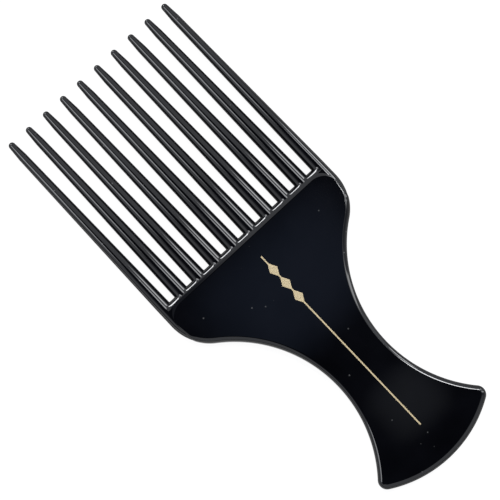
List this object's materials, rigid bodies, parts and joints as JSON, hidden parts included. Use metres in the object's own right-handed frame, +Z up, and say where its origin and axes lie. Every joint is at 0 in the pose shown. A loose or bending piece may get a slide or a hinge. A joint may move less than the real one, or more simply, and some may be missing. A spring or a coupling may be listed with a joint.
{
  "type": "afro pick comb",
  "caption": "Flat moulded plastic hair pick: long round-nosed teeth in one row on a wide head, a narrow waist to hold and a flared butt.",
  "frame": {"origin": "on the surface that the comb lies on, under the middle of its bounding box", "axes": "+Y from the butt to the tooth tips, +X across the row of teeth, +Z up through the thickness"},
  "size_m": [0.074, 0.1754, 0.0054],
  "materials": {
    "black_plastic": "polished moulded plastic",
    "gold_foil": "satin hot-stamped foil"
  },
  "bodies": {
    "root": {"handle_body": "black_plastic", "foil_ornament": "gold_foil", "tooth_01": "black_plastic", "tooth_02": "black_plastic", "tooth_03": "black_plastic", "tooth_04": "black_plastic", "tooth_05": "black_plastic", "tooth_06": "black_plastic", "tooth_07": "black_plastic", "tooth_08": "black_plastic", "tooth_09": "black_plastic", "tooth_10": "black_plastic"}
  },
  "joints": []
}
